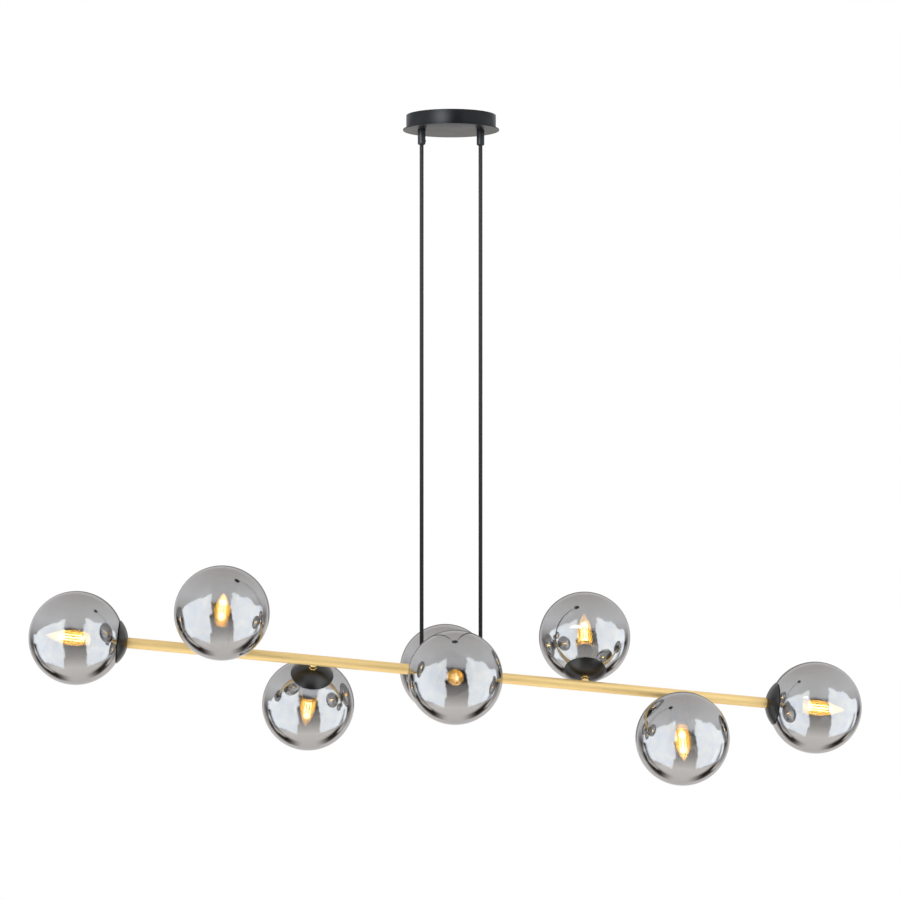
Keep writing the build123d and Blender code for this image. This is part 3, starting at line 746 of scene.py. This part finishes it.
# Operators
class PENDANT_OT_studio(Operator):
    """Camera, surroundings and the canopy's softbox"""

    bl_idname = "pendant.studio"
    bl_label = "Studio"

    def execute(self, context):
        settings = context.scene.pendant_studio
        self.add_camera(context, settings)
        self.add_surroundings(context, settings)
        self.add_canopy_light(context, settings)
        context.scene.view_settings.view_transform = "Standard"
        context.scene.view_settings.look = "None"
        return {"FINISHED"}

    def add_camera(self, context, settings):
        start_fresh()
        turn = settings.camera_turn
        distance = settings.camera_distance
        stand = (distance * math.sin(turn), -distance * math.cos(turn), settings.camera_height)
        bpy.ops.object.camera_add(location=stand, rotation=(math.pi / 2, 0, turn))
        camera = context.object
        camera.name = "camera"
        camera.data.sensor_width = settings.sensor
        camera.data.lens = settings.lens
        camera.data.shift_x = settings.drift
        camera.data.shift_y = settings.rise
        context.scene.camera = camera

    def add_surroundings(self, context, settings):
        """The room, drawn as a mirror ball in its middle would show it. The camera itself sees white."""
        world = bpy.data.worlds.new("studio")
        context.scene.world = world
        world.use_nodes = True
        tree = world.node_tree
        tree.nodes.clear()
        direction = add_node(tree, "ShaderNodeTexCoord", {}).outputs["Generated"]
        turned_to = {"Vector": direction, "Rotation": (0, 0, -settings.camera_turn)}
        facing = add_node(tree, "ShaderNodeMapping", turned_to).outputs["Vector"]
        directions = parts_of(tree, facing)
        depth = directions["Y"]
        level = directions["Z"]
        away = maths(tree, "MULTIPLY_ADD", depth, -2.0, 2.0)
        stretched = {0: facing, "Scale": maths(tree, "INVERSE_SQRT", away)}
        ball = add_node(tree, "ShaderNodeVectorMath", stretched, operation="SCALE").outputs["Vector"]
        rim = maths(tree, "SQRT", maths(tree, "MULTIPLY_ADD", depth, 0.5, 0.5))
        room = self.draw_room(tree, ball, rim, level)
        lit = add_node(tree, "ShaderNodeBackground", {"Color": room, "Strength": settings.panel_light})
        white = add_node(tree, "ShaderNodeBackground", {"Color": (1, 1, 1, 1)})
        path = add_node(tree, "ShaderNodeLightPath", {}).outputs
        straight = maths(tree, "LESS_THAN", path["Transparent Depth"], 0.5)
        seen = product(tree, path["Is Camera Ray"], straight)
        sky = add_node(tree, "ShaderNodeMixShader", {0: seen, 1: lit.outputs[0], 2: white.outputs[0]})
        add_node(tree, "ShaderNodeOutputWorld", {"Surface": sky.outputs[0]})

    def draw_room(self, tree, ball, rim, level):
        """Grey room, two panels with a dark corner between them, and crescents near the ball's rim."""
        places = parts_of(tree, ball)
        across = places["X"]
        up = places["Z"]
        room = ramped(tree, faded(tree, up, -1.0, 1.0, "LINEAR"), ROOM_TONES)
        wave = maths(tree, "MULTIPLY_ADD", noise(tree, ball, 2.2), 0.22, -0.11)
        jags = maths(tree, "MULTIPLY_ADD", noise(tree, ball, 11.0), 0.08, -0.04)
        shift = maths(tree, "ADD", wave, jags)
        across_wavy = maths(tree, "ADD", across, shift)
        up_wavy = maths(tree, "ADD", up, shift)

        left, right, low, high = CORNER
        corner_sides = window(tree, across_wavy, left, right, CORNER_EDGE)
        corner_ends = window(tree, up_wavy, low, high, CORNER_EDGE)
        room = mixed(tree, product(tree, corner_sides, corner_ends), room, CORNER_TINT)

        inside = faded(tree, rim, 0.89, 0.85)
        cloth = shaded(tree, noise(tree, ball, 5.0, 1.0), *PANEL_TINTS)
        bow = product(tree, across, across)
        top_line = maths(tree, "MULTIPLY_ADD", bow, 0.5, up_wavy)
        bottom_line = maths(tree, "MULTIPLY_ADD", bow, -0.3, up_wavy)
        for left, right, low, high in PANELS:
            sides = window(tree, across_wavy, left, right, PANEL_EDGE)
            top = faded(tree, top_line, high + PANEL_EDGE, high - PANEL_EDGE)
            bottom = faded(tree, bottom_line, low - PANEL_EDGE, low + PANEL_EDGE)
            room = mixed(tree, product(tree, sides, top, bottom, inside), room, cloth)

        near_rim = window(tree, rim, 0.80, 0.915, 0.03)
        below = faded(tree, up, -0.09, -0.15)
        aside = faded(tree, maths(tree, "ABSOLUTE", across), 0.10, 0.45)
        clutter = faded(tree, noise(tree, ball, 1.9, 1.0), 0.36, 0.52)
        room = mixed(tree, product(tree, near_rim, below, aside, clutter), room, CRESCENT_TINT)
        room = mixed(tree, faded(tree, rim, 0.92, 0.97), room, RIM_TINT)
        backdrop = mixed(tree, faded(tree, level, -0.08, -0.14), *BACKDROP_TINTS)
        return mixed(tree, faded(tree, rim, 0.976, 0.99), room, backdrop)

    def add_canopy_light(self, context, settings):
        """Softbox with a grid, in front of the canopy and to its left."""
        start_fresh()
        target = Vector((0, 0, (band_low[2] + band_high[2]) / 2))
        aside = settings.camera_turn + settings.softbox_turn
        level = settings.softbox_distance * math.cos(settings.softbox_lift)
        rise = settings.softbox_distance * math.sin(settings.softbox_lift)
        stand = target + Vector((level * math.sin(aside), -level * math.cos(aside), rise))
        aim = (target - stand).to_track_quat("-Z", "Y").to_euler()
        bpy.ops.object.light_add(type="AREA", location=stand, rotation=aim)
        softbox = context.object
        softbox.name = "canopy_softbox"
        softbox.visible_camera = False
        lamp = softbox.data
        lamp.shape = "RECTANGLE"
        lamp.size = settings.softbox_width
        lamp.size_y = settings.softbox_width
        lamp.spread = settings.softbox_spread
        lamp.energy = settings.softbox_power
        lamp.color = settings.softbox_tint


class PENDANT_OT_cords(Operator):
    """The two braided cords, straight under the weight of the bar"""

    bl_idname = "pendant.cords"
    bl_label = "Cords"

    def execute(self, context):
        top = joints["pendant_swing"]["pos_m"][2]
        bottom = cord_low[2]
        radius = cord_radius
        for side, sign in SIDES.items():
            start_fresh()
            bpy.ops.curve.primitive_nurbs_path_add()
            cord = context.object
            cord.name = f"cord_{side}_braid"
            spline = cord.data.splines[0]
            for step, point in enumerate(spline.points):
                point.co = (sign * cord_x, 0, top + (bottom - top) * step / (len(spline.points) - 1), 1)
            spline.order_u = 3
            spline.use_endpoint_u = True
            spline.resolution_u = 12
            line = bpy.data.meshes.new_from_object(cord)
            bpy.data.meshes.remove(line)
            cord.data.bevel_depth = radius
            cord.data.bevel_resolution = 6
            cord.data.use_fill_caps = True
            bpy.ops.object.convert(target="MESH")
            cord = context.object
            bpy.ops.object.shade_smooth_by_angle(angle=SMOOTH_ANGLE)
            settle(cord, "cords", "black_braid", ["black_braid"], f"cord_{side}")
            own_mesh(cord)
        return {"FINISHED"}


class PENDANT_OT_canopy(Operator):
    """Band and face plate of the canopy"""

    bl_idname = "pendant.canopy"
    bl_label = "Canopy"

    def execute(self, context):
        sizes = context.scene.pendant_canopy
        self.add_band(sizes)
        self.add_plate(sizes)
        return {"FINISHED"}

    def add_band(self, sizes):
        outer = band_high[0]
        outline = ring(outer, outer - sizes.band_wall, band_low[2], band_high[2])
        band = turned("canopy_band_coat", outline, CANOPY_STEPS)
        screw_low, screw_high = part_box("canopy_side_screws")
        drill = rod("drill", sizes.screw_hole, -2 * outer, 2 * outer)
        place(drill, Matrix.Translation((0, 0, (screw_low[2] + screw_high[2]) / 2)) @ ALONG_X)
        cut(band, drill)
        soften(band, sizes.edge_round)
        settle(band, "canopy", "black_coat", ["black_coat"], "canopy_band")

    def add_plate(self, sizes):
        outer = plate_high[0]
        low = plate_low[2]
        top = low + sizes.plate_thickness
        upstand_top = plate_high[2]
        upstand = band_high[0] - sizes.band_wall - SEAT_PLAY
        outline = [
            (0, low), (outer, low), (outer, top),
            (upstand, top), (upstand, upstand_top),
            (upstand - sizes.upstand_wall, upstand_top), (upstand - sizes.upstand_wall, top),
            (0, top),
        ]
        plate = turned("canopy_plate_coat", outline, CANOPY_STEPS)
        hole = sizes.grip_shank + DRILL_PLAY
        drills = [rod("drill", hole, low - MM, top + MM, sign * cord_x) for sign in SIDES.values()]
        cut(plate, *drills)
        soften(plate, sizes.plate_round)
        settle(plate, "canopy", "black_coat", ["black_coat"], "canopy_plate")


class PENDANT_OT_grips(Operator):
    """Cord grips under the face plate"""

    bl_idname = "pendant.grips"
    bl_label = "Cord grips"

    def execute(self, context):
        sizes = context.scene.pendant_canopy
        mouth = grip_low[2]
        shoulder = plate_low[2]
        shank_top = grip_high[2]
        body = (grip_high[0] - grip_low[0]) / 2
        bore = cord_radius + CORD_PLAY
        bend = near_arc(mouth + sizes.grip_end_round, sizes.grip_end_round, 0, math.pi / 2, 6)
        rounded = [(body - sizes.grip_end_round + r, z) for r, z in bend]
        outline = [(bore, mouth + sizes.grip_flare), (bore + sizes.grip_flare, mouth)] + rounded + [
            (body, shoulder),
            (sizes.grip_shank, shoulder), (sizes.grip_shank, shank_top),
            (bore, shank_top), (bore, mouth + sizes.grip_flare),
        ]
        first = soften(turned("cord_grip", outline, SMALL_STEPS), EDGES["grip"])
        settle_copies(first, cord_places("cord_grip"), "coat", "black_metal", ["black_metal"], "canopy")
        return {"FINISHED"}


class PENDANT_OT_bar(Operator):
    """Brass tube, with the collars that take the cords and the sleeves on the cords' ends"""

    bl_idname = "pendant.bar"
    bl_label = "Bar"

    def execute(self, context):
        sizes = context.scene.pendant_bar
        self.add_tube(sizes)
        self.add_sockets(sizes)
        self.add_ferrules(sizes)
        return {"FINISHED"}

    def add_tube(self, sizes):
        half = (cup_apex(HEADS[-1]) - cup_apex(HEADS[0])).length / 2
        outline = ring(tube_radius, tube_radius - sizes.tube_wall, -half, half)
        tube = turned("bar_tube_brass", outline, SMALL_STEPS)
        place(tube, ALONG_X)
        deep = 2 * tube_radius
        drills = [rod("drill", sizes.socket_bore, 0, deep, sign * cord_x) for sign in SIDES.values()]
        cut(tube, *drills)
        soften(tube, EDGES["tube"])
        place(tube, bar_frame())
        settle(tube, "bar", "brass", ["brass"], "bar_tube")

    def add_sockets(self, sizes):
        """Collars saddled on the tube, each with a hole at the back for its set screw."""
        top = tube_radius + sizes.socket_height
        screw_low, screw_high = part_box("socket_screws")
        drill = rod("drill", (screw_high[2] - screw_low[2]) / 4 + DRILL_PLAY, 0, 4 * sizes.socket_radius)
        place(drill, Matrix.Translation((0, 0, (tube_radius + top) / 2)) @ TO_THE_BACK)
        saddle = rod("saddle", tube_radius + SEAT_PLAY, -2 * tube_radius, 2 * tube_radius, steps=SMALL_STEPS)
        place(saddle, ALONG_X)
        first = turned("cord_socket", ring(sizes.socket_radius, sizes.socket_bore, 0, top), SMALL_STEPS)
        cut(first, drill, saddle)
        soften(first, EDGES["socket"])
        places = {name: bar_frame() @ matrix for name, matrix in cord_places("cord_socket").items()}
        collars = gathered("cord_sockets_brass", first, places)
        settle(collars, "bar", "brass", ["turned_brass"], "cord_sockets")

    def add_ferrules(self, sizes):
        """Sleeves with a crimp below their upper end."""
        low = ferrule_low[2]
        high = ferrule_high[2]
        outer = (ferrule_high[0] - ferrule_low[0]) / 2
        bore = outer - sizes.ferrule_wall
        crimped = outer - 0.5 * MM
        crimp_low = high - 7 * MM
        crimp_high = high - 3 * MM
        outline = [
            (bore, low), (outer, low), (outer, crimp_low),
            (crimped, crimp_low + MM), (crimped, crimp_high - MM),
            (outer, crimp_high), (outer, high), (bore, high), (bore, low),
        ]
        first = soften(turned("cord_ferrule", outline, FERRULE_STEPS), EDGES["ferrule"])
        places = cord_places("cord_ferrule")
        settle_copies(first, places, "black", "black_metal", ["black_metal"], "cord_ends")


class PENDANT_OT_stems(Operator):
    """Turned brass stems between the bar and the side cups"""

    bl_idname = "pendant.stems"
    bl_label = "Stems"

    def execute(self, context):
        sizes = context.scene.pendant_bar
        foot = -sizes.stem_length - tube_radius
        bore = sizes.thread_radius - MM
        shoulder = -0.55 * sizes.stem_length
        waist_low = -0.40 * sizes.stem_length
        waist_high = -0.22 * sizes.stem_length
        lip = sizes.stem_radius - 0.4 * MM
        lip_low = -0.16 * sizes.stem_length
        outline = [
            (bore, foot), (sizes.stem_radius, foot), (sizes.stem_radius, shoulder),
            (sizes.stem_waist, waist_low), (sizes.stem_waist, waist_high),
            (lip, lip_low), (lip, 0), (bore, 0), (bore, foot),
        ]
        saddle = rod("saddle", tube_radius + SEAT_PLAY, -3 * tube_radius, 3 * tube_radius, steps=SMALL_STEPS)
        place(saddle, Matrix.Translation((0, 0, foot)) @ ALONG_X)
        first = turned("stem", outline, SMALL_STEPS)
        cut(first, saddle)
        soften(first, EDGES["stem"])
        stems = gathered("stems_brass", first, head_places("stem", SIDE_HEADS))
        settle(stems, "bar", "brass", ["turned_brass"], "stems")
        return {"FINISHED"}


class PENDANT_OT_cups(Operator):
    """Black domed cups that hold the globes"""

    bl_idname = "pendant.cups"
    bl_label = "Cups"

    def execute(self, context):
        sizes = context.scene.pendant_heads
        hole = context.scene.pendant_bar.thread_radius + DRILL_PLAY
        middle, radius = cup_dome(sizes)
        inner = radius - sizes.cup_wall
        mouth = math.sqrt(inner**2 - (middle - sizes.cup_depth) ** 2)
        floor = math.sqrt(inner**2 - (middle - sizes.cup_wall) ** 2)
        outside = near_arc(
            middle, radius, math.asin(sizes.cup_flat / radius), math.asin(sizes.cup_radius / radius), 24
        )
        inside = near_arc(middle, inner, math.asin(mouth / inner), math.asin(floor / inner), 20)
        outline = [(hole, 0)] + outside + inside + [(hole, sizes.cup_wall), (hole, 0)]
        first = soften(turned("cup", outline, GLOBE_STEPS), EDGES["cup"])
        settle_copies(first, head_places("cup"), "coat", "black_coat", ["satin_black"], "bar")
        return {"FINISHED"}


class PENDANT_OT_holders(Operator):
    """Lampholders inside the globes: black plastic painted pale bluish grey, a painted reflection"""

    bl_idname = "pendant.holders"
    bl_label = "Lampholders"

    def execute(self, context):
        sizes = context.scene.pendant_heads
        hole = context.scene.pendant_bar.thread_radius + DRILL_PLAY
        seat = sizes.cup_wall
        end = sizes.holder_end
        wide = sizes.holder_radius
        slim = wide - 0.8 * MM
        foot = 8.0 * MM
        foot_height = 2.4 * MM
        bore = 8.0 * MM
        collar = 23.0 * MM
        groove_low = end - 7.0 * MM
        groove_high = end - 4.6 * MM
        slope = 0.6 * MM
        outline = [
            (hole, seat), (foot, seat), (slim, seat + foot_height), (slim, collar - MM),
            (wide, collar), (wide, groove_low),
            (slim, groove_low + slope), (slim, groove_high - slope),
            (wide, groove_high), (wide, end),
            (bore, end), (bore, end - SOCKET_DEPTH),
            (hole, end - SOCKET_DEPTH), (hole, seat),
        ]
        first = soften(turned("holder", outline, SMALL_STEPS), EDGES["holder"])
        settle_copies(first, head_places("holder"), "black", "black_plastic", ["holder_painted_reflection"], "bar")
        return {"FINISHED"}


class PENDANT_OT_bulbs(Operator):
    """Lit candle bulbs: gold cap, amber glass and filament"""

    bl_idname = "pendant.bulbs"
    bl_label = "Bulbs"

    def execute(self, context):
        sizes = context.scene.pendant_heads
        skirt = sizes.holder_end + SKIRT_GAP
        glass_base = skirt + sizes.skirt_length
        parts = {
            "cap": (self.make_cap(sizes, skirt, glass_base), ["skirt_gold_and_painted_glow"]),
            "glass": (self.make_glass(sizes, glass_base), ["bulb_amber"]),
            "filament": (self.make_filament(sizes, glass_base), ["bulb_filament", "bulb_post"]),
        }
        for node, matrix in head_places("bulb").items():
            for tail, (first, finishes) in parts.items():
                piece = place(copy(first, f"{node}_{tail}"), matrix)
                settle(piece, node, "bulb", finishes, node)
        for first, _ in parts.values():
            bpy.data.objects.remove(first)
        return {"FINISHED"}

    def make_cap(self, sizes, skirt, glass_base):
        """Screw cap with a beaded gold skirt."""
        tip = sizes.holder_end - SOCKET_DEPTH + 1.2 * MM
        contact = 2.3 * MM
        nose = tip + 1.8 * MM
        thread = 6.9 * MM
        thread_root = thread - 0.6 * MM
        pitch = 2.8 * MM
        outline = [(0, tip), (contact, tip), (thread - 1.2 * MM, nose)]
        level = nose + pitch / 2
        while level < skirt - pitch:
            outline += [(thread, level), (thread_root, level + pitch / 2)]
            level += pitch
        bead = sizes.skirt_radius
        waist = bead - 0.5 * MM
        lower_bead = skirt + 1.6 * MM
        upper_bead = glass_base - 1.9 * MM
        slope = 0.6 * MM
        outline += [
            (thread, skirt - slope), (thread, skirt),
            (bead, skirt), (bead, lower_bead),
            (waist, lower_bead + slope), (waist, upper_bead - 0.5 * MM),
            (bead, upper_bead), (bead, upper_bead + MM),
            (bead - MM, glass_base), (0, glass_base),
        ]
        return soften(turned("bulb_cap", outline, SMALL_STEPS), EDGES["bulb_cap"])

    def make_glass(self, sizes, glass_base):
        """Candle-shaped envelope with a thin wall, drawn with two curves on each side of the wall."""
        wall = 0.9 * MM
        belly = glass_base + 17.0 * MM
        neck_pull = Vector((3.0 * MM, 5.0 * MM))
        belly_pull_down = Vector((0, -6.0 * MM))
        belly_pull_up = Vector((0, 12.6 * MM))
        tip_pull = Vector((4.0 * MM, -4.0 * MM))
        sides = []
        for inset in (0, wall):
            neck = Vector((sizes.bulb_neck - inset, glass_base))
            wide = Vector((sizes.bulb_radius - inset, belly))
            tip = Vector((0, sizes.bulb_tip - inset))
            lower = interpolate_bezier(neck, neck + neck_pull, wide + belly_pull_down, wide, 14)
            upper = interpolate_bezier(wide, wide + belly_pull_up, tip + tip_pull, tip, 24)
            sides.append([tuple(point) for point in lower + upper[1:]])
        outline = list(reversed(sides[0])) + sides[1]
        return soften(turned("bulb_glass", outline, SMALL_STEPS), EDGES["bulb_glass"])

    def make_filament(self, sizes, glass_base):
        """Filament rods between two hubs, on a post."""
        low = glass_base + 6.0 * MM
        high = low + 30.0 * MM
        circle = 4.0 * MM
        hub = 1.5 * MM
        hub_radius = circle + 2 * sizes.filament_radius
        post_radius = 1.2 * MM
        press = 5.5 * MM
        press_top = glass_base + 2.0 * MM
        outline = [
            (0, glass_base), (press, glass_base),
            (press - MM, press_top), (post_radius + 0.2 * MM, press_top + MM),
            (post_radius, low - hub), (hub_radius, low - hub), (hub_radius, low),
            (post_radius, low), (post_radius, high),
            (hub_radius, high), (hub_radius, high + hub), (0, high + hub),
        ]
        post = soften(turned("bulb_filament", outline, THIN_STEPS), EDGES["post"])
        post.data.materials.append(finish("bulb_filament"))
        post.data.materials.append(finish("bulb_post"))
        for face in post.data.polygons:
            face.material_index = 1
        rods = []
        for number in range(sizes.filament_count):
            turn = 2 * math.pi * number / sizes.filament_count
            x = circle * math.cos(turn)
            y = circle * math.sin(turn)
            lamp = rod("rod", sizes.filament_radius, low, high, x, y, FILAMENT_STEPS)
            lamp.data.materials.append(finish("bulb_filament"))
            pick(lamp)
            bpy.ops.object.shade_smooth_by_angle(angle=SMOOTH_ANGLE)
            rods.append(lamp)
        return joined("bulb_filament", [post] + rods)


class PENDANT_OT_globes(Operator):
    """Smoked, half mirrored glass globes"""

    bl_idname = "pendant.globes"
    bl_label = "Globes"

    def execute(self, context):
        sizes = context.scene.pendant_heads
        centre = globe_centre(sizes)
        outer = sizes.globe_radius
        inner = outer - sizes.globe_wall
        neck = sizes.neck_bore + sizes.globe_wall
        dome_middle, dome_radius = cup_dome(sizes)
        dome_radius -= sizes.cup_wall
        neck_end = dome_middle - math.sqrt(dome_radius**2 - neck**2) + 0.9 * MM
        outside = near_arc(centre, outer, math.pi, math.asin(neck / outer), 64)
        inside = near_arc(centre, inner, math.asin(sizes.neck_bore / inner), math.pi, 56)
        outline = outside + [(neck, neck_end), (sizes.neck_bore, neck_end)] + inside
        first = soften(turned("globe", outline, GLOBE_STEPS), EDGES["globe"])
        finishes = ["smoked_mirror", "smoked_glass"]
        for name in finishes:
            first.data.materials.append(finish(name))
        middle = Vector((0, 0, centre))
        for face in first.data.polygons:
            face.material_index = 1 if (face.center - middle).length < (outer + inner) / 2 else 0
        settle_copies(first, head_places("globe"), "glass", "smoked_glass", finishes)
        return {"FINISHED"}


class PENDANT_OT_kept_parts(Operator):
    """Finishes of the CAD parts that stay as they are"""

    bl_idname = "pendant.kept_parts"
    bl_label = "Kept parts"

    def execute(self, context):
        kept = {
            "zinc_steel": ["ceiling_bracket", "terminal_screws", "earth_screw", "grip_nuts"],
            "black_metal": ["canopy_side_screws", "grip_screws", "globe_collars"],
            "turned_brass": ["socket_screws", "bar_end_plugs", "holder_contacts"],
            "white_plastic": ["terminal_block"],
            "wire": ["canopy_leads", "bar_leads"],
            "soft_seal": ["cup_gaskets", "cord_tails", "cord_ends"],
        }
        for name, members in kept.items():
            for member in members:
                for slot in nodes[member].material_slots:
                    slot.material = finish(name)
        return {"FINISHED"}


class PENDANT_PT_sidebar(Panel):
    """The pendant's pieces, in the order they are made"""

    bl_idname = "PENDANT_PT_sidebar"
    bl_label = "Pendant"
    bl_space_type = "VIEW_3D"
    bl_region_type = "UI"
    bl_category = "Pendant"

    def draw(self, context):
        for operator in OPERATORS:
            self.layout.operator(operator.bl_idname)
        for group in SETTINGS:
            settings = getattr(context.scene, group)
            for name in settings.__annotations__:
                self.layout.prop(settings, name)


OPERATORS = (
    PENDANT_OT_studio,
    PENDANT_OT_cords,
    PENDANT_OT_canopy,
    PENDANT_OT_grips,
    PENDANT_OT_bar,
    PENDANT_OT_stems,
    PENDANT_OT_cups,
    PENDANT_OT_holders,
    PENDANT_OT_bulbs,
    PENDANT_OT_globes,
    PENDANT_OT_kept_parts,
)
SETTINGS = {
    "pendant_canopy": CanopySizes,
    "pendant_bar": BarSizes,
    "pendant_heads": HeadSizes,
    "pendant_finishes": Finishes,
    "pendant_studio": StudioSettings,
}


def register():
    for name, group in SETTINGS.items():
        bpy.utils.register_class(group)
        setattr(bpy.types.Scene, name, PointerProperty(type=group))
    for entry in OPERATORS + (PENDANT_PT_sidebar,):
        bpy.utils.register_class(entry)


def unregister():
    for entry in (PENDANT_PT_sidebar,) + tuple(reversed(OPERATORS)):
        bpy.utils.unregister_class(entry)
    for name, group in reversed(SETTINGS.items()):
        delattr(bpy.types.Scene, name)
        bpy.utils.unregister_class(group)


def main():
    register()
    for operator in OPERATORS:
        getattr(bpy.ops.pendant, operator.bl_idname.split(".")[1])()
    start_fresh()


if __name__ == "__main__":
    main()
